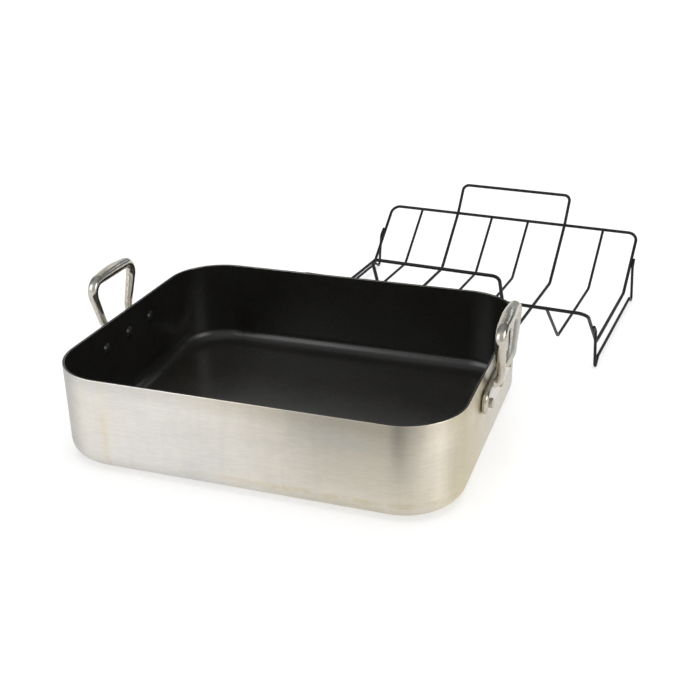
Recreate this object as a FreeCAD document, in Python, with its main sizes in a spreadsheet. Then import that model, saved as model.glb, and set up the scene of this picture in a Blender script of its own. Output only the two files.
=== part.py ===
import FreeCAD
import Part
import math
import os

import Sketcher

os.makedirs("parts", exist_ok=True)
doc = FreeCAD.newDocument("roasting_pan")
V = FreeCAD.Vector

# Driving dimensions, in millimetres and degrees.
DIMENSIONS = {
    # Pan shell: a straight walled box with rounded corners and a rounded bottom edge.
    "pan_length": 406.0,
    "pan_width": 332.0,
    "pan_height": 98.0,
    "corner_radius": 60.0,
    "bottom_radius": 18.0,
    "wall_thickness": 2.0,
    "rim_round": 0.7,
    "coat_thickness": 0.3,
    # Rivets: a low dome inside the pan, a plain button outside.
    "rivet_spacing": 47.0,
    "rivet_drop": 27.0,
    "shank_diameter": 6.0,
    "shank_clearance": 0.05,
    "dome_diameter": 13.0,
    "dome_height": 2.9,
    "button_diameter": 9.6,
    "button_height": 3.3,
    "button_bevel": 0.4,
    # Cast handle: a riveted plate with rounded ends, two legs and a fuller grip.
    # Each oval section is deeper than it is wide or tall by its widening.
    "plate_length": 116.0,
    "plate_height": 25.0,
    "plate_thickness": 6.5,
    "plate_round": 3.2,
    "plate_back_round": 0.9,
    "leg_width": 7.8,
    "leg_widening": 0.6,
    "leg_root_half": 22.5,
    "leg_root_rise": 8.0,
    "leg_elbow_reach": 8.5,
    "leg_elbow_rise": 9.5,
    "leg_elbow_bend": 6.0,
    "leg_knee_half": 26.4,
    "leg_knee_rise": 21.0,
    "leg_knee_bend": 12.0,
    "loop_standoff": 12.3,
    "loop_top_half": 44.6,
    "loop_rise": 42.7,
    "loop_top_bend": 12.5,
    "corner_height": 10.9,
    "corner_widening": 1.3,
    "grip_height": 12.8,
    "grip_widening": 0.9,
    "grip_tilt": 12.0,
    # Rack: wires bent to a trough with sloping sides.
    "rack_length": 352.9,
    "rack_top_width": 306.8,
    "rack_bottom_width": 168.8,
    "rack_rail_height": 80.6,
    "rack_bottom_height": 19.6,
    "inner_rib_place": 26.1,
    "handle_loop_place": 76.8,
    "handle_loop_shift": 1.4,
    "outer_rib_place": 130.5,
    "frame_wire": 4.0,
    "rib_wire": 3.5,
    "foot_wire": 3.5,
    "trough_bend": 11.0,
    "frame_bend": 12.0,
    "weld_sink": 0.3,
    "grab_height": 117.2,
    "grab_lean": 20.0,
    "near_grab_height": 116.0,
    "near_grab_lean": 14.0,
    "grab_bend": 8.0,
    "foot_half_width": 115.0,
    "foot_bar_height": 8.5,
    "foot_top": 54.6,
    "foot_splay": 3.4,
    "foot_slope": 30.0,
    "foot_bend": 3.5,
    "foot_top_bend": 6.0,
    # Where the rack stands on the same surface, behind the pan.
    "rack_east": 109.8,
    "rack_gap": 24.2,
    "rack_turn": -5.2,
}

sheet = doc.addObject("Spreadsheet::Sheet", "dims")
for row, (alias, value) in enumerate(DIMENSIONS.items(), start=1):
    sheet.set("A%d" % row, alias)
    sheet.set("B%d" % row, "%g" % value)
    sheet.setAlias("B%d" % row, alias)
doc.recompute()


def size(alias):
    """A driving dimension as the sheet holds it."""
    return float(sheet.get(alias))


# Names and heights that several pieces share.
SUBPARTS = []
RIVET_HEIGHT = "dims.pan_height - dims.rivet_drop"
HALF_INSIDE = "(dims.pan_length / 2 - dims.wall_thickness)"
HOLE_RADIUS = "dims.shank_diameter / 2 + dims.shank_clearance"
RIVET_ROWS = (("front", -1), ("middle", 0), ("rear", 1))


def new_body(label):
    """An empty body that becomes one piece."""
    body = doc.addObject("PartDesign::Body", label)
    body.Label = label
    return body


def origin_item(body, role):
    """One of the body's own base planes or axes."""
    for item in body.Origin.OriginFeatures:
        if item.Role == role:
            return item
    raise RuntimeError("no " + role)


def new_sketch(body, name, role, offset=None):
    """A sketch on a base plane, moved along the plane's normal by an expression."""
    sketch = body.newObject("Sketcher::SketchObject", name)
    sketch.AttachmentSupport = [(origin_item(body, role), "")]
    sketch.MapMode = "FlatFace"
    if offset:
        sketch.setExpression("AttachmentOffset.Base.z", offset)
    return sketch


def drive(sketch, expression, *constraint):
    """Add a dimension to a sketch and bind it to the sheet."""
    index = sketch.addConstraint(Sketcher.Constraint(*constraint))
    sketch.setExpression("Constraints[%d]" % index, expression)


def relate(sketch, *constraint):
    """Add a relation without a size to a sketch."""
    sketch.addConstraint(Sketcher.Constraint(*constraint))


def line(sketch, start, end):
    """A straight line in a sketch."""
    return sketch.addGeometry(Part.LineSegment(V(*start, 0), V(*end, 0)), False)


def arc(sketch, centre, radius, start, sweep):
    """An arc in a sketch, from one polar angle through a positive sweep, in degrees."""
    circle = Part.Circle(V(*centre, 0), V(0, 0, 1), radius)
    first = math.radians(start)
    return sketch.addGeometry(Part.ArcOfCircle(circle, first, first + math.radians(sweep)), False)


def mark(sketch, east, north, east_expression, north_expression):
    """A construction point held at a driven position."""
    point = sketch.addGeometry(Part.Point(V(east, north, 0)), True)
    drive(sketch, east_expression, "DistanceX", -1, 1, point, 1, east)
    drive(sketch, north_expression, "DistanceY", -1, 1, point, 1, north)
    return point


def edges_where(feature, test):
    """Names of the edges whose bounding box passes a test."""
    return ["Edge%d" % n for n, e in enumerate(feature.Shape.Edges, start=1) if test(e.BoundBox)]


def round_edges(body, name, base, radius, test):
    """Round the edges of a feature that pass a test."""
    doc.recompute()
    fillet = body.newObject("PartDesign::Fillet", name)
    fillet.Base = (base, edges_where(base, test))
    fillet.setExpression("Radius", radius)
    doc.recompute()
    return fillet


def must_change(before, after, grows):
    """Stop if a feature left the solid as it was."""
    change = after.Shape.Volume - before.Shape.Volume
    if (change > 0) != grows or abs(change) < 1e-3:
        raise RuntimeError(after.Name + " had no effect")


def pan_outline(body, name, inset, inset_value, offset):
    """The pan's plan, a rectangle with round corners, set in from its outside."""
    sketch = new_sketch(body, name, "XY_Plane", offset)
    radius = size("corner_radius") - inset_value
    east = size("pan_length") / 2 - size("corner_radius")
    north = size("pan_width") / 2 - size("corner_radius")
    centres = [(east, -north), (east, north), (-east, north), (-east, -north)]
    turns = [(math.cos(n * math.pi / 2), math.sin(n * math.pi / 2)) for n in range(4)]
    sides = []
    corners = []
    for n in range(4):
        ahead, out = turns[n], turns[n - 1]
        ends = [[c[k] + radius * out[k] for k in range(2)] for c in (centres[n - 1], centres[n])]
        sides.append(line(sketch, ends[0], ends[1]))
        corners.append(arc(sketch, centres[n], radius, 90 * n - 90, 90))
        relate(sketch, "Vertical" if abs(ahead[0]) < 0.5 else "Horizontal", sides[n])
    for n in range(4):
        relate(sketch, "Tangent", sides[n], 2, corners[n], 1)
        relate(sketch, "Tangent", corners[n - 1], 2, sides[n], 1)
        if n:
            relate(sketch, "Equal", corners[0], corners[n])
    relate(sketch, "Symmetric", corners[0], 3, corners[2], 3, -1, 1)
    drive(sketch, "dims.corner_radius - (%s)" % inset, "Radius", corners[0], radius)
    drive(
        sketch, "dims.pan_length - 2 * dims.corner_radius",
        "DistanceX", corners[3], 3, corners[0], 3, 2 * east)
    drive(
        sketch, "dims.pan_width - 2 * dims.corner_radius",
        "DistanceY", corners[0], 3, corners[1], 3, 2 * north)
    return sketch


def level(height):
    """A test for edges that lie flat at one height."""
    return lambda box: abs(box.ZMin - height) < 0.01 and abs(box.ZMax - height) < 0.01


def open_box(body, prefix, outer, outer_value, inner, inner_value, top):
    """A layer of the pan between two depths from its outside, open at the top."""
    block = body.newObject("PartDesign::Pad", prefix + "_block")
    block.Profile = pan_outline(body, prefix + "_outside", outer, outer_value, outer)
    block.setExpression("Length", "(%s) - (%s)" % (top, outer))
    doc.recompute()
    space = body.newObject("PartDesign::Pocket", prefix + "_space")
    space.Profile = pan_outline(body, prefix + "_inside", inner, inner_value, top)
    space.setExpression("Length", "(%s) - (%s)" % (top, inner))
    doc.recompute()
    must_change(block, space, False)
    rounded = space
    for name, depth, value in (("_hollow", inner, inner_value), ("_base", outer, outer_value)):
        radius = "dims.bottom_radius - (%s)" % depth
        rounded = round_edges(body, prefix + name, rounded, radius, level(value))
    return rounded


def rivet_holes(body, name, base):
    """Drill the row of three rivet holes right through along the pan's length."""
    sketch = new_sketch(body, name + "_plan", "YZ_Plane")
    height = size("pan_height") - size("rivet_drop")
    radius = size("shank_diameter") / 2 + size("shank_clearance")
    for row, place in RIVET_ROWS:
        across = place * size("rivet_spacing")
        hole = sketch.addGeometry(Part.Circle(V(across, height, 0), V(0, 0, 1), radius), False)
        drive(sketch, RIVET_HEIGHT, "DistanceY", -1, 1, hole, 3, height)
        if place:
            drive(sketch, "%d * dims.rivet_spacing" % place, "DistanceX", -1, 1, hole, 3, across)
        else:
            relate(sketch, "PointOnObject", hole, 3, -2)
        drive(sketch, HOLE_RADIUS, "Radius", hole, radius)
    cut = body.newObject("PartDesign::Pocket", name)
    cut.Profile = sketch
    cut.Type = "ThroughAll"
    cut.SideType = "Symmetric"
    doc.recompute()
    must_change(base, cut, False)
    return cut


# Pan shell: one pressing of even thickness, rounded at the rim and drilled for the handles.
pan_shell = new_body("pan_shell")
wall = size("wall_thickness")
coat = size("coat_thickness")
tall = size("pan_height")
tub = open_box(pan_shell, "shell", "0", 0.0, "dims.wall_thickness", wall, "dims.pan_height")
tub = round_edges(pan_shell, "rim", tub, "dims.rim_round", level(tall))
rivet_holes(pan_shell, "shell_holes", tub)
SUBPARTS.append(pan_shell)


def dome_profile(body, name, swell, swell_value):
    """Half of a rivet dome's section on the inner wall face, at the front rivet of the +X end."""
    sketch = new_sketch(body, name, "XZ_Plane", "dims.rivet_spacing")
    face = size("pan_length") / 2 - wall
    height = size("pan_height") - size("rivet_drop")
    radius = size("dome_diameter") / 2 + swell_value
    rise = size("dome_height") + swell_value
    ball = (radius ** 2 + rise ** 2) / (2 * rise)
    opening = math.degrees(math.asin(radius / ball))
    axis = line(sketch, (face - rise, height), (face, height))
    foot = line(sketch, (face, height), (face, height + radius))
    cap = arc(sketch, (face - rise + ball, height), ball, 180 - opening, opening)
    relate(sketch, "Coincident", axis, 2, foot, 1)
    relate(sketch, "Coincident", foot, 2, cap, 1)
    relate(sketch, "Coincident", cap, 2, axis, 1)
    relate(sketch, "Horizontal", axis)
    relate(sketch, "Vertical", foot)
    relate(sketch, "PointOnObject", cap, 3, axis)
    drive(sketch, HALF_INSIDE, "DistanceX", -1, 1, axis, 2, face)
    drive(sketch, RIVET_HEIGHT, "DistanceY", -1, 1, axis, 2, height)
    drive(sketch, "dims.dome_height + %s" % swell, "DistanceX", axis, 1, axis, 2, rise)
    drive(sketch, "dims.dome_diameter / 2 + %s" % swell, "DistanceY", foot, 1, foot, 2, radius)
    return sketch


def on_every_rivet(body, name, feature):
    """Repeat a feature from the front rivet of the +X end on all six rivets."""
    along = body.newObject("PartDesign::LinearPattern", name + "_row")
    along.Direction = (origin_item(body, "Y_Axis"), [""])
    along.setExpression("Length", "2 * dims.rivet_spacing")
    along.Occurrences = 3
    across = body.newObject("PartDesign::Mirrored", name + "_ends")
    across.MirrorPlane = (origin_item(body, "YZ_Plane"), [""])
    repeat = body.newObject("PartDesign::MultiTransform", name)
    repeat.Originals = [feature]
    repeat.Transformations = [along, across]
    body.Tip = repeat
    doc.recompute()
    return repeat


# Inside coating: an even layer up to the rounded rim, swelling over the six rivet domes.
coating = new_body("nonstick_coating")
layer = open_box(
    coating, "coat", "dims.wall_thickness", wall,
    "(dims.wall_thickness + dims.coat_thickness)", wall + coat,
    "(dims.pan_height - dims.rim_round)")
swell = coating.newObject("PartDesign::Revolution", "coat_dome")
swell.Profile = dome_profile(coating, "coat_dome_section", "dims.coat_thickness", coat)
swell.ReferenceAxis = (swell.Profile[0], ["Edge1"])
swell.Angle = 360
doc.recompute()
must_change(layer, swell, True)
swells = on_every_rivet(coating, "coat_domes", swell)
must_change(swell, swells, True)
seat = coating.newObject("PartDesign::Groove", "coat_seat")
seat.Profile = dome_profile(coating, "coat_seat_section", "0", 0.0)
seat.ReferenceAxis = (seat.Profile[0], ["Edge1"])
seat.Angle = 360
doc.recompute()
must_change(swells, seat, False)
seats = on_every_rivet(coating, "coat_seats", seat)
must_change(seat, seats, False)
SUBPARTS.append(coating)


def put_on_end(item, side, depth, depth_value):
    """Place a piece on the left or right end wall, its own +X pointing away from the pan."""
    turn = FreeCAD.Rotation(V(0, 0, 1), 0 if side > 0 else 180)
    item.Placement = FreeCAD.Placement(V(side * (size("pan_length") / 2 - depth_value), 0, 0), turn)
    item.setExpression("Placement.Base.x", "%d * (dims.pan_length / 2 - %s)" % (side, depth))


def make_rivet(label, side, place):
    """A rivet through wall and handle plate: dome inside, button with a bevelled edge outside."""
    body = new_body(label)
    sketch = new_sketch(body, label + "_section", "XZ_Plane")
    radius = size("dome_diameter") / 2
    rise = size("dome_height")
    shank = size("shank_diameter") / 2
    grip = wall + size("plate_thickness")
    button = size("button_diameter") / 2
    tip = grip + size("button_height")
    bevel = size("button_bevel")
    ball = (radius ** 2 + rise ** 2) / (2 * rise)
    opening = math.degrees(math.asin(radius / ball))
    corners = [
        (-rise, 0), (tip, 0), (tip, button - bevel), (tip - bevel, button),
        (grip, button), (grip, shank), (0, shank), (0, radius)]
    runs = [line(sketch, corners[n], corners[n + 1]) for n in range(7)]
    cap = arc(sketch, (ball - rise, 0), ball, 180 - opening, opening)
    for n in range(6):
        relate(sketch, "Coincident", runs[n], 2, runs[n + 1], 1)
    relate(sketch, "Coincident", runs[6], 2, cap, 1)
    relate(sketch, "Coincident", cap, 2, runs[0], 1)
    for n in (1, 4, 6):
        relate(sketch, "Vertical", runs[n])
    for n in (3, 5):
        relate(sketch, "Horizontal", runs[n])
    for item, end in ((runs[0], 1), (runs[0], 2), (cap, 3)):
        relate(sketch, "PointOnObject", item, end, -1)
    relate(sketch, "PointOnObject", runs[6], 1, -2)
    drive(sketch, "dims.dome_height", "DistanceX", runs[0], 1, -1, 1, rise)
    drive(sketch, "dims.dome_diameter / 2", "DistanceY", -1, 1, runs[6], 2, radius)
    drive(sketch, "dims.shank_diameter / 2", "DistanceY", -1, 1, runs[5], 2, shank)
    drive(
        sketch, "dims.wall_thickness + dims.plate_thickness",
        "DistanceX", -1, 1, runs[4], 1, grip)
    drive(sketch, "dims.button_height", "DistanceX", runs[4], 1, runs[0], 2, tip - grip)
    drive(sketch, "dims.button_diameter / 2", "DistanceY", -1, 1, runs[3], 1, button)
    drive(sketch, "dims.button_bevel", "DistanceX", runs[2], 2, runs[2], 1, bevel)
    drive(sketch, "dims.button_bevel", "DistanceY", runs[2], 1, runs[2], 2, bevel)
    turned = body.newObject("PartDesign::Revolution", label + "_turned")
    turned.Profile = sketch
    turned.ReferenceAxis = (sketch, ["H_Axis"])
    turned.Angle = 360
    put_on_end(body, side, "dims.wall_thickness", wall)
    body.setExpression("Placement.Base.y", "%d * dims.rivet_spacing" % place)
    body.setExpression("Placement.Base.z", RIVET_HEIGHT)
    SUBPARTS.append(body)


def bent_path(name, corners, closed):
    """Straight runs through corner points, with a tangent arc of the given radius at each."""
    points = [V(*c[0]) for c in corners]
    count = len(points)
    edges = []
    first = last = None
    for n in range(count):
        here = points[n]
        radius = corners[n][1]
        if radius and (closed or 0 < n < count - 1):
            back = (points[n - 1] - here).normalize()
            ahead = (points[(n + 1) % count] - here).normalize()
            half = back.getAngle(ahead) / 2
            reach = radius / math.tan(half)
            centre = here + (back + ahead).normalize() * (radius / math.sin(half))
            middle = centre + (here - centre).normalize() * radius
            turn_in, turn_out = here + back * reach, here + ahead * reach
            bend = Part.Arc(turn_in, middle, turn_out).toShape()
        else:
            turn_in = turn_out = here
            bend = None
        if last is None:
            first = turn_in
        elif last.distanceToPoint(turn_in) > 1e-6:
            edges.append(Part.makeLine(last, turn_in))
        if bend:
            edges.append(bend)
        last = turn_out
    if closed:
        edges.append(Part.makeLine(last, first))
    path = doc.addObject("Part::Feature", name)
    path.Shape = Part.Wire(edges)
    return path


def ring(name, centre, ahead, radius):
    """A round section that faces along a direction."""
    section = doc.addObject("Part::Circle", name)
    section.setExpression("Radius", radius)
    section.Placement = FreeCAD.Placement(V(*centre), FreeCAD.Rotation(V(0, 0, 1), V(*ahead)))
    return section


def oval(name, centre, long_way, ahead, long_half, short_half):
    """An oval section that faces along a direction, with its long axis given."""
    section = doc.addObject("Part::Ellipse", name)
    section.setExpression("MajorRadius", long_half)
    section.setExpression("MinorRadius", short_half)
    turn = FreeCAD.Rotation(V(*long_way), V(0, 0, 0), V(*ahead), "ZXY")
    section.Placement = FreeCAD.Placement(V(*centre), turn)
    return section


def swept_wire(label, path, sections):
    """A round bar swept along a path."""
    bar = doc.addObject("Part::Sweep", label)
    bar.Label = label
    bar.Sections = sections
    bar.Spine = (path, ["Edge%d" % (n + 1) for n in range(len(path.Shape.Edges))])
    bar.Solid = True
    bar.Frenet = False
    doc.recompute()
    return bar


def make_handle(label, side):
    """A cast handle: riveted plate with rounded ends, two spreading legs and an arched grip."""
    plate = new_body(label + "_plate")
    sketch = new_sketch(plate, label + "_outline", "YZ_Plane")
    height = size("pan_height") - size("rivet_drop")
    end = size("plate_height") / 2
    half = size("plate_length") / 2 - end
    low = line(sketch, (-half, height - end), (half, height - end))
    right = arc(sketch, (half, height), end, -90, 180)
    high = line(sketch, (half, height + end), (-half, height + end))
    left = arc(sketch, (-half, height), end, 90, 180)
    outline = (low, right, high, left)
    for n in range(4):
        relate(sketch, "Tangent", outline[n], 2, outline[(n + 1) % 4], 1)
    relate(sketch, "Horizontal", low)
    relate(sketch, "Symmetric", right, 3, left, 3, -2)
    drive(sketch, "dims.plate_height / 2", "Radius", right, end)
    drive(sketch, "dims.plate_length - dims.plate_height", "DistanceX", left, 3, right, 3, 2 * half)
    drive(sketch, RIVET_HEIGHT, "DistanceY", -1, 1, right, 3, height)
    slab = plate.newObject("PartDesign::Pad", label + "_slab")
    slab.Profile = sketch
    slab.setExpression("Length", "dims.plate_thickness")
    thick = size("plate_thickness")
    rounded = round_edges(
        plate, label + "_edge", slab, "dims.plate_round",
        lambda box: abs(box.XMin - thick) < 0.01 and abs(box.XMax - thick) < 0.01)
    rounded = round_edges(
        plate, label + "_back_edge", rounded, "dims.plate_back_round",
        lambda box: abs(box.XMin) < 0.01 and abs(box.XMax) < 0.01)
    rivet_holes(plate, label + "_holes", rounded)

    out = size("loop_standoff")
    top = size("loop_top_half")
    crown = size("pan_height") + size("loop_rise")
    root = (thick / 2, -size("leg_root_half"), height + size("leg_root_rise"))
    elbow = (size("leg_elbow_reach"), -size("leg_root_half"), height + size("leg_elbow_rise"))
    knee = (out, -size("leg_knee_half"), height + size("leg_knee_rise"))
    spread = math.atan2(top + knee[1], crown - knee[2])
    grip_half = top - size("loop_top_bend") / math.tan(math.pi / 4 - spread / 2)
    grip_start = (out, -grip_half, crown)
    path = bent_path(label + "_path", [
        (root, 0),
        (elbow, size("leg_elbow_bend")),
        (knee, size("leg_knee_bend")),
        ((out, -top, crown), size("loop_top_bend")),
        (grip_start, 0)], False)
    tilt = math.radians(size("grip_tilt"))
    tilted = (math.cos(tilt), 0, -math.sin(tilt))
    rising = V(*elbow) - V(*root)
    front_leg = swept_wire(label + "_leg", path, [
        oval(
            label + "_leg_root", root, (rising.z, 0, -rising.x), rising,
            "(dims.leg_width + dims.leg_widening) / 2", "dims.leg_width / 2"),
        oval(
            label + "_leg_end", grip_start, tilted, (0, 1, 0),
            "(dims.corner_height + dims.corner_widening) / 2", "dims.corner_height / 2")])
    rear_leg = doc.addObject("Part::Mirroring", label + "_other_leg")
    rear_leg.Source = front_leg
    rear_leg.Normal = V(0, 1, 0)

    sections = []
    for n in range(-3, 4):
        share = n / 3
        swell = "%g / 2" % (1 - share ** 2) ** 1.5
        tall_half = (
            "(dims.corner_height / 2 + (dims.grip_height - dims.corner_height) * %s)" % swell)
        widening_half = (
            "(dims.corner_widening / 2 + (dims.grip_widening - dims.corner_widening) * %s)" % swell)
        section = oval(
            "%s_grip_%d" % (label, n + 3), (out, share * grip_half, crown), tilted, (0, 1, 0),
            tall_half + " + " + widening_half, tall_half)
        section.setExpression("Placement.Base.x", "dims.loop_standoff")
        section.setExpression(
            "Placement.Base.z",
            "dims.pan_height + dims.loop_rise - dims.corner_height / 2 + " + tall_half)
        sections.append(section)
    grip = doc.addObject("Part::Loft", label + "_grip")
    grip.Sections = sections
    grip.Solid = True
    doc.recompute()

    handle = doc.addObject("Part::MultiFuse", label)
    handle.Label = label
    handle.Shapes = [plate, front_leg, rear_leg, grip]
    handle.Refine = True
    put_on_end(handle, side, "0", 0.0)
    doc.recompute()
    SUBPARTS.append(handle)


for side_name, side in (("left", -1), ("right", 1)):
    make_handle(side_name + "_handle", side)
    for row, place in RIVET_ROWS:
        make_rivet("%s_%s_rivet" % (side_name, row), side, place)


def put_on_rack(item, tilt=FreeCAD.Placement()):
    """Place a piece of the rack, tilted or not, where the rack stands."""
    turn = FreeCAD.Rotation(V(0, 0, 1), size("rack_turn"))
    north = (size("pan_width") + size("rack_top_width")) / 2 + size("rack_gap")
    item.Placement = FreeCAD.Placement(V(size("rack_east"), north, 0), turn).multiply(tilt)
    shift = turn.multVec(tilt.Base)
    item.setExpression("Placement.Base.x", "dims.rack_east + %g" % shift.x)
    item.setExpression(
        "Placement.Base.y",
        "(dims.pan_width + dims.rack_top_width) / 2 + dims.rack_gap + %g" % shift.y)
    SUBPARTS.append(item)


# The trough's profile: flat bottom, bend, straight slope up to the rail.
half_bottom = size("rack_bottom_width") / 2
half_top = size("rack_top_width") / 2
low = size("rack_bottom_height")
high = size("rack_rail_height")
slope = math.degrees(math.atan2(high - low, half_top - half_bottom))
frame_half = size("frame_wire") / 2
end_place = size("rack_length") / 2


def trough_marks(sketch):
    """The points where the trough's profile bends and where its slope meets the rail."""
    bend = mark(sketch, half_bottom, low, "dims.rack_bottom_width / 2", "dims.rack_bottom_height")
    rail = mark(sketch, half_top, high, "dims.rack_top_width / 2", "dims.rack_rail_height")
    return bend, rail


def whole_wire(body, label, path, place, place_value, height, height_value, wire, tilt=FreeCAD.Placement()):
    """Sweep a wire from the rack's middle plane along half its path, and mirror it."""
    section = new_sketch(body, label + "_section", "XZ_Plane")
    radius = size(wire) / 2
    circle = section.addGeometry(Part.Circle(V(place_value, height_value, 0), V(0, 0, 1), radius), False)
    drive(section, place, "DistanceX", -1, 1, circle, 3, place_value)
    drive(section, height, "DistanceY", -1, 1, circle, 3, height_value)
    drive(section, "dims.%s / 2" % wire, "Radius", circle, radius)
    half = body.newObject("PartDesign::AdditivePipe", label + "_half")
    half.Profile = section
    half.Spine = (path, ["Edge%d" % (n + 1) for n in range(len(path.Shape.Edges))])
    doc.recompute()
    both = body.newObject("PartDesign::Mirrored", label + "_both")
    both.Originals = [half]
    both.MirrorPlane = (origin_item(body, "XZ_Plane"), [""])
    body.Tip = both
    doc.recompute()
    must_change(half, both, True)
    put_on_rack(body, tilt)


def make_rib(label, side, place):
    """A cross wire bent to the trough, its ends sunk into the rails."""
    body = new_body(label)
    where = "%d * dims.%s" % (side, place)
    path = new_sketch(body, label + "_path", "YZ_Plane", where)
    bend_mark, rail_mark = trough_marks(path)
    radius = size("trough_bend")
    reach = radius * math.tan(math.radians(slope / 2))
    rise = V(math.cos(math.radians(slope)), math.sin(math.radians(slope)), 0)
    rib_half = size("rib_wire") / 2
    short = math.sqrt(frame_half ** 2 - rib_half ** 2) - size("weld_sink") / 4
    flat_end = half_bottom - reach
    slope_start = V(half_bottom, low, 0) + rise * reach
    slope_end = V(half_top, high, 0) - rise * short
    flat = line(path, (0, low), (flat_end, low))
    bend = arc(path, (flat_end, low + radius), radius, -90, slope)
    flank = line(path, (slope_start.x, slope_start.y), (slope_end.x, slope_end.y))
    relate(path, "PointOnObject", flat, 1, -2)
    relate(path, "Horizontal", flat)
    relate(path, "Tangent", flat, 2, bend, 1)
    relate(path, "Tangent", bend, 2, flank, 1)
    relate(path, "PointOnObject", bend_mark, 1, flat)
    relate(path, "PointOnObject", bend_mark, 1, flank)
    relate(path, "PointOnObject", rail_mark, 1, flank)
    drive(path, "dims.trough_bend", "Radius", bend, radius)
    drive(
        path, "sqrt(pow(dims.frame_wire; 2) - pow(dims.rib_wire; 2)) / 2 - dims.weld_sink / 4",
        "Distance", flank, 2, rail_mark, 1, short)
    doc.recompute()
    whole_wire(
        body, label, path, where, side * size(place),
        "dims.rack_bottom_height", low, "rib_wire")


def make_foot(label, side):
    """A foot wire beside an end wire: stub on its slope, upright leg, pointed foot, raised bar."""
    body = new_body(label)
    foot_half = size("foot_wire") / 2
    beside = frame_half + foot_half - size("weld_sink")
    where = "%d * (dims.rack_length / 2 + (dims.frame_wire + dims.foot_wire) / 2 - dims.weld_sink)" % side
    path = new_sketch(body, label + "_path", "YZ_Plane", where)
    bend_mark, rail_mark = trough_marks(path)
    bar = size("foot_bar_height")
    wide = size("foot_half_width")
    small = size("foot_bend")
    large = size("foot_top_bend")
    fall = math.radians(size("foot_slope"))
    tip_high = foot_half + small
    tip_centre = V(wide - small, tip_high, 0)
    down_end = tip_centre + V(-math.sin(fall), -math.cos(fall), 0) * small
    bar_centre_high = bar - small
    down_top = bar_centre_high + small * math.cos(fall)
    down_start = down_end + V(-1 / math.tan(fall), 1, 0) * (down_top - down_end.y)
    bar_end = down_start.x - small * math.sin(fall)
    cross = low + (wide - half_bottom) * math.tan(math.radians(slope))
    reach = large * math.tan(math.radians(90 - slope) / 2)
    rise = V(math.cos(math.radians(slope)), math.sin(math.radians(slope)), 0)
    stub_start = V(wide, cross, 0) + rise * reach
    top = size("foot_top")
    stub_end = (wide + (top - cross) / math.tan(math.radians(slope)), top)
    flat = line(path, (0, bar), (bar_end, bar))
    shoulder = arc(path, (bar_end, bar_centre_high), small, 90 - size("foot_slope"), size("foot_slope"))
    down = line(path, (down_start.x, down_start.y), (down_end.x, down_end.y))
    tip = arc(path, (tip_centre.x, tip_centre.y), small, -90 - size("foot_slope"), 90 + size("foot_slope"))
    leg = line(path, (wide, tip_high), (wide, cross - reach))
    knee = arc(path, (wide + large, cross - reach), large, 90 + slope, 90 - slope)
    stub = line(path, (stub_start.x, stub_start.y), stub_end)
    relate(path, "PointOnObject", flat, 1, -2)
    relate(path, "Horizontal", flat)
    relate(path, "Vertical", leg)
    relate(path, "Tangent", flat, 2, shoulder, 2)
    relate(path, "Tangent", shoulder, 1, down, 1)
    relate(path, "Tangent", down, 2, tip, 1)
    relate(path, "Tangent", tip, 2, leg, 1)
    relate(path, "Tangent", leg, 2, knee, 2)
    relate(path, "Tangent", knee, 1, stub, 1)
    relate(path, "Equal", shoulder, tip)
    relate(path, "PointOnObject", bend_mark, 1, stub)
    relate(path, "PointOnObject", rail_mark, 1, stub)
    drive(path, "dims.foot_bar_height", "DistanceY", -1, 1, flat, 1, bar)
    drive(path, "dims.foot_bend", "Radius", tip, small)
    drive(path, "dims.foot_top_bend", "Radius", knee, large)
    drive(path, "dims.foot_wire / 2 + dims.foot_bend", "DistanceY", -1, 1, tip, 3, tip_high)
    drive(path, "dims.foot_half_width", "DistanceX", -1, 1, leg, 1, wide)
    drive(path, "dims.foot_top", "DistanceY", -1, 1, stub, 2, top)
    drive(path, "-dims.foot_slope * 1 deg", "Angle", down, -fall)
    doc.recompute()
    # The foot stands out at the bottom: turned about its stub, and let down onto the surface again.
    pivot = V(side * (end_place + beside), 0, (cross + top) / 2)
    splay = size("foot_splay")
    tilt = FreeCAD.Placement(V(0, 0, 0), FreeCAD.Rotation(V(0, 1, 0), -side * splay), pivot)
    drop = (pivot.z - foot_half) * (1 - math.cos(math.radians(splay)))
    tilt.Base = tilt.Base - V(0, 0, drop)
    whole_wire(
        body, label, path, where, side * (end_place + beside),
        "dims.foot_bar_height", bar, "foot_wire", tilt)


def both_ways(corners):
    """Complete a closed wire from the bends of its +X half, turned half round for the other."""
    return corners + [((-x, -y, z), bend) for (x, y, z), bend in corners]


# Frame wire: far rail, end profile, near rail, end profile.
frame_bend = size("frame_bend")
trough_bend = size("trough_bend")
frame_corners = both_ways([
    ((end_place, half_top, high), frame_bend),
    ((end_place, half_bottom, low), trough_bend),
    ((end_place, -half_bottom, low), trough_bend),
    ((end_place, -half_top, high), frame_bend)])
frame_path = bent_path("rack_frame_path", frame_corners, True)
frame_section = ring(
    "rack_frame_section", frame_path.Shape.Edges[0].Vertexes[0].Point, (1, 0, 0), "dims.frame_wire / 2")
put_on_rack(swept_wire("rack_frame_wire", frame_path, [frame_section]))

# Handle loop: two cross wires that pass inside the rails and rise to the two carrying handles.
loop_place = size("handle_loop_place")
grab_bend = size("grab_bend")
aside = 2 * frame_half - size("weld_sink")


def grab_bends(side, grab_high, lean_out):
    """Top corner and knee of a carrying handle's leg, on the far (+1) or near (-1) rail."""
    lean = math.degrees(math.atan2(grab_high - high, lean_out))
    halfway = math.radians((slope + lean) / 2)
    knee_wide = half_top - aside * math.sin(halfway)
    knee_high = high + aside * math.cos(halfway)
    return (
        ((loop_place, side * (half_top + lean_out), grab_high), grab_bend),
        ((loop_place, side * knee_wide, knee_high), grab_bend))


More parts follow.
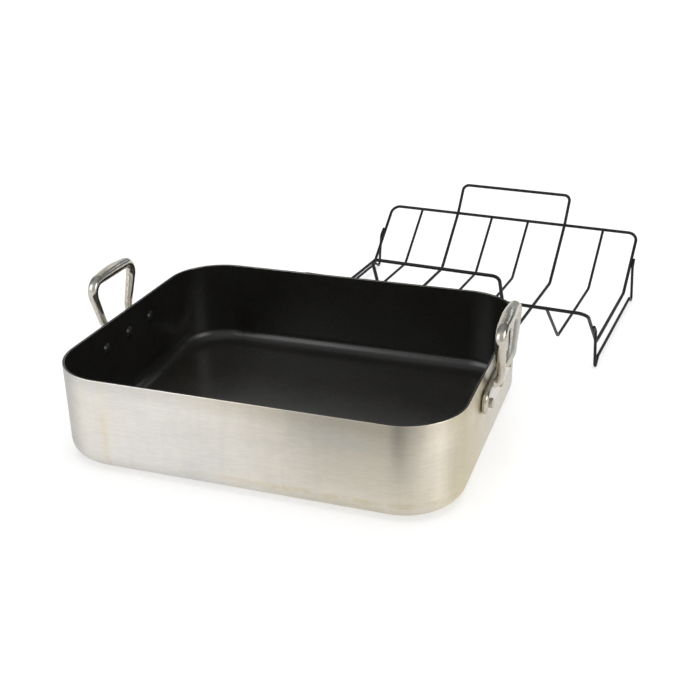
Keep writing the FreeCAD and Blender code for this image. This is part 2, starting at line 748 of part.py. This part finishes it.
far_top, far_knee = grab_bends(1, size("grab_height"), size("grab_lean"))
near_top, near_knee = grab_bends(-1, size("near_grab_height"), size("near_grab_lean"))
right_side = [
    far_top, far_knee,
    ((loop_place, half_bottom, low), trough_bend),
    ((loop_place, -half_bottom, low), trough_bend),
    near_knee, near_top]
loop_corners = right_side + [((-x, y, z), bend) for (x, y, z), bend in reversed(right_side)]
loop_shift = size("handle_loop_shift")
loop_corners = [((x + loop_shift, y, z), bend) for (x, y, z), bend in loop_corners]
loop_path = bent_path("rack_loop_path", loop_corners, True)
loop_section = ring(
    "rack_loop_section", loop_path.Shape.Edges[0].Vertexes[0].Point, (1, 0, 0), "dims.frame_wire / 2")
put_on_rack(swept_wire("rack_handle_loop", loop_path, [loop_section]))

for side_name, side in (("left", -1), ("right", 1)):
    for row in ("outer_rib", "inner_rib"):
        make_rib("rack_%s_%s" % (row, side_name), side, row + "_place")
    make_foot("rack_foot_" + side_name, side)

doc.recompute()
for item in doc.Objects:
    if "Invalid" in item.State or "Error" in item.State:
        raise RuntimeError(item.Name + " failed: " + str(item.State))
for item in SUBPARTS:
    if item.Shape.isNull() or not item.Shape.isValid() or len(item.Shape.Solids) != 1:
        raise RuntimeError(item.Label + " is not one valid solid")
for item in SUBPARTS:
    item.Shape.exportStep(os.path.join("parts", item.Label + ".step"))
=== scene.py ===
import math

import bpy
from mathutils import Matrix, Vector

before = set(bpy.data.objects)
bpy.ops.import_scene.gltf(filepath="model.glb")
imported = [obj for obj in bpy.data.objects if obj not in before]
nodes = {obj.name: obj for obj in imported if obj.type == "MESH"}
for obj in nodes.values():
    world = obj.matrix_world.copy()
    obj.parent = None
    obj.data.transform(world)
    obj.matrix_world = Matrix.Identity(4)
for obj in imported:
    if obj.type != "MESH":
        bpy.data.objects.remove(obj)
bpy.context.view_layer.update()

scene = bpy.context.scene

SIDES = ("left", "right")
HANDLES = ["%s_handle" % side for side in SIDES]
RIVETS = ["%s_%s_rivet" % (side, row) for side in SIDES for row in ("front", "middle", "rear")]
RACK_WIRES = [name for name in nodes if name.startswith("rack_")]

# Most of a noise lies between these two values.
NOISE = (0.3, 0.7)


class NodeTree:
    """Short calls that build a tree of shader nodes."""

    def __init__(self, tree):
        self.tree = tree

    def add(self, kind, **settings):
        node = self.tree.nodes.new(kind)
        for key, value in settings.items():
            setattr(node, key, value)
        return node

    def link(self, source, target):
        self.tree.links.new(source, target)

    def put(self, target, value):
        """Link a socket, or set a plain value."""
        if hasattr(value, "is_output"):
            self.link(value, target)
        else:
            target.default_value = value

    def axes(self, vector):
        """The three numbers of a vector."""
        split = self.add("ShaderNodeSeparateXYZ")
        self.link(vector, split.inputs[0])
        return [split.outputs[axis] for axis in "XYZ"]

    def coords(self, kind="Object"):
        return self.add("ShaderNodeTexCoord").outputs[kind]

    def noise(self, scale, detail=4.0, rough=0.5, stretch=(1.0, 1.0, 1.0), distort=0.0):
        mapping = self.add("ShaderNodeMapping")
        mapping.inputs["Scale"].default_value = stretch
        self.link(self.coords(), mapping.inputs["Vector"])
        node = self.add("ShaderNodeTexNoise")
        self.link(mapping.outputs["Vector"], node.inputs["Vector"])
        node.inputs["Scale"].default_value = scale
        node.inputs["Detail"].default_value = detail
        node.inputs["Roughness"].default_value = rough
        node.inputs["Distortion"].default_value = distort
        return node.outputs["Fac"]

    def range(self, value, low, high, to_low=0.0, to_high=1.0, easing="LINEAR"):
        """Bring a value that runs from low to high to another range, held at both ends."""
        node = self.add("ShaderNodeMapRange", interpolation_type=easing, clamp=True)
        node.inputs["From Min"].default_value = low
        node.inputs["From Max"].default_value = high
        node.inputs["To Min"].default_value = to_low
        node.inputs["To Max"].default_value = to_high
        self.put(node.inputs["Value"], value)
        return node.outputs["Result"]

    def fade(self, value, low, high, to_low=0.0, to_high=1.0):
        """The same with soft ends."""
        return self.range(value, low, high, to_low, to_high, "SMOOTHSTEP")

    def math(self, operation, a, b=0.0):
        node = self.add("ShaderNodeMath", operation=operation)
        self.put(node.inputs[0], a)
        self.put(node.inputs[1], b)
        return node.outputs[0]

    def product(self, first, *others):
        for other in others:
            first = self.math("MULTIPLY", first, other)
        return first

    def distance(self, value, centre):
        return self.math("ABSOLUTE", self.math("SUBTRACT", value, centre))

    def mix(self, factor, a, b, blend="MIX"):
        node = self.add("ShaderNodeMix", data_type="RGBA", blend_type=blend)
        self.put(node.inputs["Factor"], factor)
        for key, value in (("A", a), ("B", b)):
            socket = [s for s in node.inputs if s.name == key and s.type == "RGBA"][0]
            self.put(socket, (*value, 1.0) if isinstance(value, tuple) else value)
        return [s for s in node.outputs if s.type == "RGBA"][0]

    def bump(self, height, strength, distance):
        node = self.add("ShaderNodeBump")
        node.inputs["Strength"].default_value = strength
        node.inputs["Distance"].default_value = distance
        self.link(height, node.inputs["Height"])
        return node.outputs["Normal"]


class Shader(NodeTree):
    """A new material and its node tree."""

    def __init__(self, name):
        self.material = bpy.data.materials.new(name)
        self.material.use_nodes = True
        super().__init__(self.material.node_tree)
        self.tree.nodes.clear()
        self.output = self.add("ShaderNodeOutputMaterial")

    def surface(self, shader):
        self.link(shader, self.output.inputs["Surface"])

    def principled(self, **inputs):
        node = self.add("ShaderNodeBsdfPrincipled")
        for key, value in inputs.items():
            self.put(node.inputs[key.replace("_", " ")], value)
        self.surface(node.outputs["BSDF"])


# Colours of the shell's metal and of the marks on it, with painted warm light and a painted golden
# reflection.
COOL_STEEL = (0.68, 0.662, 0.628)
# WARM_STEEL is the steel under painted warm light, used towards the east.
WARM_STEEL = (0.685, 0.632, 0.52)
WARM_DRIFT = (0.70, 0.645, 0.575)
COOL_DRIFT = (0.655, 0.66, 0.655)
STRAW = (0.62, 0.57, 0.43)
UNDER_RIM_BROWN = (0.60, 0.535, 0.43)
# Colour of the painted golden reflection at the right front corner.
GOLDEN_REFLECTION = (0.665, 0.585, 0.40)
HEAT_MARK = (0.66, 0.58, 0.38)
SCORCH = (0.60, 0.52, 0.36)
RIM_COAT = (0.013, 0.0127, 0.012)

# Where the marks, the painted light and the painted shade fade in or out, in metres from the middle of the
# pan's bottom.
FRONT_WALL = (-0.05, -0.10)
# Painted warm light: the shell turns warmer towards the east and the front.
WARM_LIGHT_EAST, WARM_LIGHT_NORTH = (-0.10, 0.20), (-0.04, 0.14)
UNDER_RIM_BROWN_HEIGHT, UNDER_RIM_BROWN_EAST = (0.072, 0.096), (-0.12, 0.02)
# Where the painted golden reflection lies, at the right front corner.
GOLDEN_REFLECTION_EAST, GOLDEN_REFLECTION_FRONT, GOLDEN_REFLECTION_BACK = (0.165, 0.200), (-0.150, -0.115), (-0.075, -0.035)
HEAT_MARK_EAST, HEAT_MARK_REACH, HEAT_MARK_TOP = -0.137, 0.006, (0.052, 0.072)
SCORCH_HEIGHT, SCORCH_REACH = 0.017, (0.0008, 0.0042)
SCORCH_EAST, SCORCH_NORTH = (-0.06, 0.02), (-0.10, -0.15)
# Painted light and shade on the shell: shade at the left edge, across the front wall and in a band near the
# right corner, a highlight at the top of that corner, and below the rim shade with a highlight on its edge.
EDGE_SHADE_EAST, EDGE_SHADE_NORTH = (-0.192, -0.158), (-0.13, 0.0)
WALL_SHADE_WEST, WALL_SHADE_EAST, WALL_SHADE_HEIGHT = (-0.03, 0.10), (0.158, 0.181), (0.014, 0.080)
SHADE_BAND_EAST, SHADE_BAND_REACH, SHADE_BAND_HEIGHT = 0.1545, 0.0105, (0.030, 0.092)
LIT_EAST, LIT_NORTH, LIT_HEIGHT = (0.172, 0.180), (-0.135, -0.115), (0.062, 0.094)
RIM_SHADE, RIM_HIGHLIGHT = (0.078, 0.0965), (0.0970, 0.0974)
RIM_COAT_HEIGHT, RIM_COAT_NORTH = (0.090, 0.094), (-0.12, 0.10)

# The brush lines run level around the wall.
BRUSH_ANISOTROPY = 0.85
BRUSH_TURN = 0.25
FINE_SHARE = 0.75


def steel_tint(s, east, north, height, cloud, smear, front):
    """Colour of the shell: warmer to the east as painted warm light, with straw and heat colours, browner
    just below the rim, and a painted golden reflection at the right front corner.
    """
    # Painted warm light from the right: warmer steel towards the east.
    warm_light = s.product(s.fade(east, *WARM_LIGHT_EAST), s.fade(north, *WARM_LIGHT_NORTH, 1.0, 0.2))
    tint = s.mix(warm_light, COOL_STEEL, WARM_STEEL)
    drift = s.noise(9.0, detail=3.0, stretch=(1.0, 1.0, 2.4), distort=0.4)
    tint = s.mix(s.fade(drift, 0.50, 0.68, 0.0, 0.40), tint, WARM_DRIFT)
    tint = s.mix(s.fade(drift, 0.48, 0.32, 0.0, 0.35), tint, COOL_DRIFT)
    straw = s.product(s.fade(smear, 0.52, 0.74), s.range(warm_light, 0.0, 1.0, 0.25, 0.6))
    tint = s.mix(straw, tint, STRAW)
    # Browner just below the rim, in clouds, more to the east.
    under_rim_brown = s.product(
        s.fade(height, *UNDER_RIM_BROWN_HEIGHT, 0.0, 0.55),
        s.fade(east, *UNDER_RIM_BROWN_EAST),
        s.range(cloud, 0.35, 0.65, 0.5, 1.0))
    tint = s.mix(under_rim_brown, tint, UNDER_RIM_BROWN)
    # Painted golden reflection of the right-hand lamp at the right front corner.
    golden_reflection = s.product(
        s.fade(east, *GOLDEN_REFLECTION_EAST, 0.0, 0.75),
        s.fade(north, *GOLDEN_REFLECTION_FRONT),
        s.fade(north, *GOLDEN_REFLECTION_BACK, 1.0, 0.0))
    tint = s.mix(golden_reflection, tint, GOLDEN_REFLECTION)
    mark = s.product(
        s.fade(s.distance(east, HEAT_MARK_EAST), 0.0, HEAT_MARK_REACH, 0.50, 0.0),
        s.fade(height, *HEAT_MARK_TOP, 1.0, 0.15),
        front,
        s.fade(s.noise(160.0, detail=3.0, rough=0.6), 0.34, 0.60, 0.25, 1.0))
    tint = s.mix(mark, tint, HEAT_MARK)
    scorch = s.product(
        s.fade(s.distance(height, SCORCH_HEIGHT), *SCORCH_REACH, 0.55, 0.0),
        s.fade(east, *SCORCH_EAST),
        s.fade(north, *SCORCH_NORTH),
        s.fade(s.noise(60.0, rough=0.6), 0.38, 0.60, 0.1, 1.0))
    return s.mix(scorch, tint, SCORCH)


def steel_shade(s, east, north, height, front):
    """Brightness of the shell by place, all painted light and shade: darker at the left edge, below the
    rim, across the front wall and in a band near the right corner, with painted highlights on the rim's
    edge and at the top of that corner.
    """
    # Painted shade at the left edge of the front wall.
    edge_shade = s.product(s.fade(east, *EDGE_SHADE_EAST, 1.0, 0.0), s.fade(north, *EDGE_SHADE_NORTH, 1.0, 0.0))
    # Painted shade across the right part of the front wall, darker towards the top.
    wall_shade = s.product(
        s.fade(east, *WALL_SHADE_WEST),
        s.fade(east, *WALL_SHADE_EAST, 1.0, 0.0),
        front,
        s.range(height, *WALL_SHADE_HEIGHT, 0.05, 0.37))
    # Painted shade: a dark upright band just short of the right front corner, darker towards the top.
    shade_band = s.product(
        s.fade(s.distance(east, SHADE_BAND_EAST), 0.0, SHADE_BAND_REACH, 1.0, 0.0),
        front,
        s.range(height, *SHADE_BAND_HEIGHT, 0.0, 0.25))
    # Painted highlight at the top of the right front corner.
    lit = s.product(
        s.fade(east, *LIT_EAST),
        s.fade(north, *LIT_NORTH, 1.0, 0.0),
        s.range(height, *LIT_HEIGHT, 0.0, 0.18))
    return s.product(
        s.range(edge_shade, 0.0, 1.0, 1.0, 0.68),
        # Painted shade below the rim, and a painted highlight on the rim's edge.
        s.fade(height, *RIM_SHADE, 1.0, 0.88),
        s.fade(height, *RIM_HIGHLIGHT, 1.0, 1.40),
        s.math("SUBTRACT", 1.0, wall_shade),
        s.math("SUBTRACT", 1.0, shade_band),
        s.math("ADD", 1.0, lit))


def rim_coat(s, north, height):
    """One on the top of the rim, where the dark coating laps over, else zero."""
    upward = s.axes(s.add("ShaderNodeNewGeometry").outputs["Normal"])[2]
    upward = s.math("ADD", upward, s.fade(north, *RIM_COAT_NORTH, 0.0, 0.42))
    return s.product(s.fade(upward, 0.62, 0.80), s.range(height, *RIM_COAT_HEIGHT))


def brushed_steel():
    """Brushed shell: fine level lines, cloudy handling marks, straw-coloured heat marks, coated rim top,
    painted warm light and a painted golden reflection in its colour, painted shade and highlights in its
    brightness.
    """
    s = Shader("brushed_steel")
    fine = s.noise(1.0, detail=3.0, rough=0.65, stretch=(16.0, 16.0, 3400.0))
    broad = s.noise(1.0, detail=3.0, stretch=(5.0, 5.0, 320.0))
    cloud = s.noise(13.0, detail=5.0, rough=0.6, stretch=(0.6, 0.6, 1.6), distort=0.5)
    smear = s.noise(1.0, rough=0.6, stretch=(70.0, 70.0, 9.0))
    dash = s.noise(1.0, detail=3.0, rough=0.6, stretch=(95.0, 95.0, 820.0))
    streak = s.math("ADD", s.product(fine, FINE_SHARE), s.product(broad, 1.0 - FINE_SHARE))
    east, north, height = s.axes(s.coords())
    front = s.fade(north, *FRONT_WALL)
    tint = steel_tint(s, east, north, height, cloud, smear, front)
    shade = s.product(
        s.range(streak, *NOISE, 0.95, 1.04),
        s.range(cloud, *NOISE, 0.92, 1.06),
        s.range(smear, *NOISE, 0.96, 1.04),
        s.range(dash, *NOISE, 0.95, 1.05),
        steel_shade(s, east, north, height, front))
    grey = s.add("ShaderNodeCombineColor")
    for channel in ("Red", "Green", "Blue"):
        s.link(shade, grey.inputs[channel])
    coated = rim_coat(s, north, height)
    colour = s.mix(coated, s.mix(1.0, tint, grey.outputs[0], "MULTIPLY"), RIM_COAT)
    tangent = s.add("ShaderNodeTangent", direction_type="RADIAL", axis="Z")
    s.principled(
        Base_Color=colour, Metallic=s.math("SUBTRACT", 1.0, coated),
        Roughness=s.range(streak, *NOISE, 0.36, 0.44),
        Anisotropic=BRUSH_ANISOTROPY, Anisotropic_Rotation=BRUSH_TURN,
        Normal=s.bump(streak, strength=0.07, distance=0.0002), Tangent=tangent.outputs["Tangent"])
    return s.material


def nonstick():
    """Dark satin coating with a fine grain."""
    s = Shader("nonstick")
    grain = s.noise(2400.0, detail=2.0, rough=0.6)
    cloud = s.noise(14.0, rough=0.6)
    colour = s.mix(s.range(cloud, *NOISE), (0.0128, 0.0121, 0.0097), (0.0174, 0.0166, 0.0140))
    rough = s.math("ADD", s.range(cloud, *NOISE, 0.24, 0.30), s.range(grain, *NOISE, -0.02, 0.02))
    s.principled(
        Base_Color=colour, Roughness=rough, IOR=1.52, Normal=s.bump(grain, strength=0.06, distance=0.0001))
    return s.material


def polished_cast():
    """Polished casting with a soft orange-peel, painted brown and blue-grey reflections in patches, and a
    browner right handle as painted darker reflection.
    """
    s = Shader("polished_cast")
    peel = s.noise(90.0, detail=3.0)
    patch = s.noise(38.0, rough=0.6)
    brown_reflection = s.noise(52.0, rough=0.6, distort=0.6)
    blue_reflection = s.noise(44.0, detail=3.0, stretch=(1.0, 0.5, 1.0), distort=0.8)
    colour = s.mix(s.range(patch, 0.35, 0.65), (0.50, 0.465, 0.395), (0.58, 0.555, 0.50))
    # Painted brown and blue-grey reflections, in patches.
    colour = s.mix(s.fade(brown_reflection, 0.50, 0.68, 0.0, 0.65), colour, (0.44, 0.375, 0.28))
    colour = s.mix(s.fade(blue_reflection, 0.54, 0.70, 0.0, 0.60), colour, (0.38, 0.42, 0.47))
    east = s.axes(s.coords())[0]
    # Painted darker reflection: the right handle is browner and darker.
    colour = s.mix(s.range(east, 0.0, 0.1, 0.0, 0.20), colour, (0.40, 0.355, 0.285))
    s.principled(
        Base_Color=colour, Metallic=0.93, Roughness=s.range(patch, *NOISE, 0.17, 0.25),
        Normal=s.bump(peel, strength=0.05, distance=0.0006))
    return s.material


def rivet_steel():
    """Duller, browner rivet metal with faint stains."""
    s = Shader("rivet_steel")
    stain = s.noise(420.0, detail=3.0, rough=0.6)
    colour = s.mix(s.range(stain, *NOISE), (0.36, 0.31, 0.24), (0.50, 0.45, 0.37))
    s.principled(
        Base_Color=colour, Metallic=1.0, Roughness=s.range(stain, *NOISE, 0.28, 0.42),
        Normal=s.bump(stain, strength=0.1, distance=0.0002))
    return s.material


def rack_coat():
    """Semi-matte black coat on the wires, with a fine pebble."""
    s = Shader("rack_coat")
    pebble = s.noise(1500.0, detail=2.0)
    patch = s.noise(40.0, detail=3.0)
    colour = s.mix(s.range(patch, *NOISE), (0.006, 0.006, 0.0062), (0.011, 0.011, 0.0115))
    s.principled(
        Base_Color=colour, Roughness=s.range(patch, *NOISE, 0.42, 0.54), IOR=1.36,
        Normal=s.bump(pebble, strength=0.15, distance=0.0001))
    return s.material


def dress(names, material):
    for name in names:
        mesh = nodes[name].data
        mesh.materials.clear()
        mesh.materials.append(material)


dress(["pan_shell"], brushed_steel())
dress(["nonstick_coating"], nonstick())
dress(HANDLES, polished_cast())
dress(RIVETS, rivet_steel())
dress(RACK_WIRES, rack_coat())

# Castings: swell, merge and shrink the mesh again, which leaves a fillet where legs and plate meet,
# then shrink and swell it, which rounds the outer edges. The last swell also makes good the little
# that the smoothing takes off.
FILLET = 0.0022
ROUND = 0.0012
SMOOTHING_LOSS = 0.00045
VOXEL = 0.0006
CASTING_STEPS = (
    ("swell", FILLET, 3),
    ("shrink", -FILLET - ROUND, 6),
    ("swell_back", ROUND + SMOOTHING_LOSS, 6))
LAST_SMOOTHING = 70


def smoothing(stack, name, rounds):
    even = stack.new(name, "SMOOTH")
    even.factor = 0.5
    even.iterations = rounds


for name in HANDLES:
    stack = nodes[name].modifiers
    for step, reach, rounds in CASTING_STEPS:
        remesh = stack.new("merge_before_" + step, "REMESH")
        remesh.mode = "VOXEL"
        remesh.voxel_size = VOXEL
        remesh.use_smooth_shade = True
        smoothing(stack, "even_before_" + step, rounds)
        move = stack.new(step, "DISPLACE")
        move.strength = reach
        move.mid_level = 0.0
    smoothing(stack, "even_out", LAST_SMOOTHING)

WHITE = (1.0, 1.0, 1.0)
FLOOR_SIZE = 24.0
FLOOR_DROP = 0.0002
FLOOR_TONE = (0.60, 0.60, 0.60)
# Own light of the floor as it is seen: its strength near the object, and where that rises to full.
FLOOR_GLOW = 0.56
GLOW_RISE = (0.7, 2.2)


def pale_floor():
    """Pale and matt, brought up to white for the eye and for reflections; it keeps the shadow."""
    s = Shader("pale_floor")
    diffuse = s.add("ShaderNodeBsdfDiffuse")
    diffuse.inputs["Color"].default_value = (*FLOOR_TONE, 1.0)
    path = s.add("ShaderNodeLightPath")
    seen = s.math("MAXIMUM", path.outputs["Is Camera Ray"], path.outputs["Is Glossy Ray"])
    seen = s.math("MAXIMUM", seen, path.outputs["Is Transmission Ray"])
    reach = s.add("ShaderNodeVectorMath", operation="LENGTH")
    s.link(s.coords(), reach.inputs[0])
    glow = s.add("ShaderNodeEmission")
    glow.inputs["Color"].default_value = (*WHITE, 1.0)
    far = s.fade(reach.outputs["Value"], *GLOW_RISE, FLOOR_GLOW, 1.0)
    s.link(s.product(seen, far), glow.inputs["Strength"])
    both = s.add("ShaderNodeAddShader")
    s.link(diffuse.outputs[0], both.inputs[0])
    s.link(glow.outputs[0], both.inputs[1])
    s.surface(both.outputs[0])
    return s.material


half = FLOOR_SIZE / 2
floor_mesh = bpy.data.meshes.new("floor")
floor_mesh.from_pydata(
    [(-half, -half, 0), (half, -half, 0), (half, half, 0), (-half, half, 0)], [], [(0, 1, 2, 3)])
floor_mesh.materials.append(pale_floor())
item = bpy.data.objects.new("floor", floor_mesh)
item.matrix_world = Matrix.Translation((0.0, 0.0, -FLOOR_DROP))
scene.collection.objects.link(item)

# World: white to the eye and a plain soft light, while reflections see a studio that is white at the
# horizon, lighter on the near side than on the far side, and dim at the far right.
AMBIENT = 0.50
# Brightness of the studio in reflections, by the sine of the height above the horizon.
NEAR_SIDE = (
    (0.02, (1.0, 0.99, 0.97)),
    (0.12, (0.80, 0.79, 0.77)),
    (0.30, (0.46, 0.48, 0.50)),
    (0.58, (0.64, 0.66, 0.67)),
    (0.80, (0.82, 0.83, 0.83)),
    (0.98, (0.40, 0.41, 0.42)))
FAR_SIDE = (
    (0.02, (0.86, 0.85, 0.83)),
    (0.12, (0.62, 0.62, 0.61)),
    (0.30, (0.29, 0.32, 0.35)),
    (0.58, (0.17, 0.20, 0.23)),
    (0.80, (0.23, 0.25, 0.27)),
    (0.98, (0.40, 0.41, 0.42)))
NEAR_TO_FAR = (-0.75, 0.05)
FAR_RIGHT = (0.30, 0.34, 0.39)
FAR_RIGHT_ACROSS, FAR_RIGHT_AWAY, FAR_RIGHT_TOP = (0.10, 0.50), (-0.20, 0.30), (0.35, 0.60)


def height_ramp(sky, up, levels):
    ramp = sky.add("ShaderNodeValToRGB")
    sky.link(up, ramp.inputs["Fac"])
    stops = ramp.color_ramp.elements
    for height, colour in levels:
        stops.new(height).color = (*colour, 1.0)
    stops.remove(stops[0])
    stops.remove(stops[-1])
    return ramp.outputs["Color"]


world = bpy.data.worlds.new("studio")
scene.world = world
world.use_nodes = True
background = world.node_tree.nodes["Background"]
sky = NodeTree(world.node_tree)
across, away, up = sky.axes(sky.coords("Generated"))
studio = sky.mix(
    sky.fade(away, *NEAR_TO_FAR), height_ramp(sky, up, NEAR_SIDE), height_ramp(sky, up, FAR_SIDE))
far_right = sky.product(
    sky.fade(across, *FAR_RIGHT_ACROSS),
    sky.fade(away, *FAR_RIGHT_AWAY),
    sky.fade(up, *FAR_RIGHT_TOP, 1.0, 0.0))
studio = sky.mix(far_right, studio, FAR_RIGHT, "MULTIPLY")
path = sky.add("ShaderNodeLightPath")
mirrored = sky.math("MAXIMUM", path.outputs["Is Glossy Ray"], path.outputs["Is Transmission Ray"])
shown = sky.mix(mirrored, (AMBIENT, AMBIENT, AMBIENT), studio)
shown = sky.mix(path.outputs["Is Camera Ray"], shown, WHITE)
sky.link(shown, background.inputs["Color"])
background.inputs["Strength"].default_value = 1.0


def softbox(name, place, target, width, height, power, colour=WHITE):
    """A rectangular light that faces a target and shows only in reflections."""
    lamp = bpy.data.lights.new(name, "AREA")
    lamp.shape = "RECTANGLE"
    lamp.size = width
    lamp.size_y = height
    lamp.energy = power
    lamp.color = colour
    item = bpy.data.objects.new(name, lamp)
    turn = (Vector(target) - Vector(place)).to_track_quat("-Z", "Y")
    item.matrix_world = Matrix.Translation(place) @ turn.to_matrix().to_4x4()
    item.visible_diffuse = False
    scene.collection.objects.link(item)
    return item


PAN = (0.0, 0.0, 0.05)
PAN_RIGHT = (0.1, 0.0, 0.05)
PAN_BACK = (0.0, 0.1, 0.05)
CREAM = (1.0, 0.985, 0.945)
WARM_WHITE = (1.0, 0.97, 0.90)
softbox("key_light", (-0.90, -1.24, 1.02), PAN, 0.70, 0.95, 5.4)
softbox("side_light", (-1.45, -0.90, 0.85), PAN, 0.60, 0.90, 4.2)
softbox("low_light", (-0.47, -1.45, 0.62), PAN, 0.70, 0.30, 0.6)
softbox("right_light", (1.62, -0.35, 0.95), PAN_RIGHT, 0.90, 0.90, 8.5, CREAM)
softbox("back_light", (-1.10, 1.42, 0.96), PAN_BACK, 1.40, 1.10, 2.8, WARM_WHITE)
softbox("high_back_light", (-0.36, 1.55, 1.42), PAN_BACK, 0.70, 0.45, 0.9, WARM_WHITE)
softbox("rear_light", (0.66, 1.72, 0.98), PAN, 0.90, 0.16, 0.9)

# The top light does the opposite: it lights the floor and the matt surfaces, and no reflection shows it.
top = softbox("top_light", (0.0, 0.2, 2.4), (0.0, 0.15, 0.0), 2.6, 2.6, 34.0)
top.visible_diffuse = True
top.visible_glossy = False

# Camera at the photograph's viewing angle.
CAMERA_PLACE = (0.373866, -0.922329, 0.527246)
YAW, PITCH, ROLL = -0.33317857, 0.42607868, -0.01308909
SENSOR_MM, LENS_MM = 36.0, 54.10
VIEW_END = 100.0
ahead = Vector((math.sin(YAW) * math.cos(PITCH), math.cos(YAW) * math.cos(PITCH), -math.sin(PITCH)))
level = Vector((math.cos(YAW), -math.sin(YAW), 0.0))
upright = level.cross(ahead)
right = level * math.cos(ROLL) + upright * math.sin(ROLL)
above = upright * math.cos(ROLL) - level * math.sin(ROLL)
lens = bpy.data.cameras.new("camera")
lens.sensor_width = SENSOR_MM
lens.lens = LENS_MM
lens.clip_end = VIEW_END
camera = bpy.data.objects.new("camera", lens)
camera.matrix_world = Matrix.Translation(CAMERA_PLACE) @ Matrix(
    (right, above, -ahead)).transposed().to_4x4()
scene.collection.objects.link(camera)
scene.camera = camera

scene.view_settings.view_transform = "Standard"
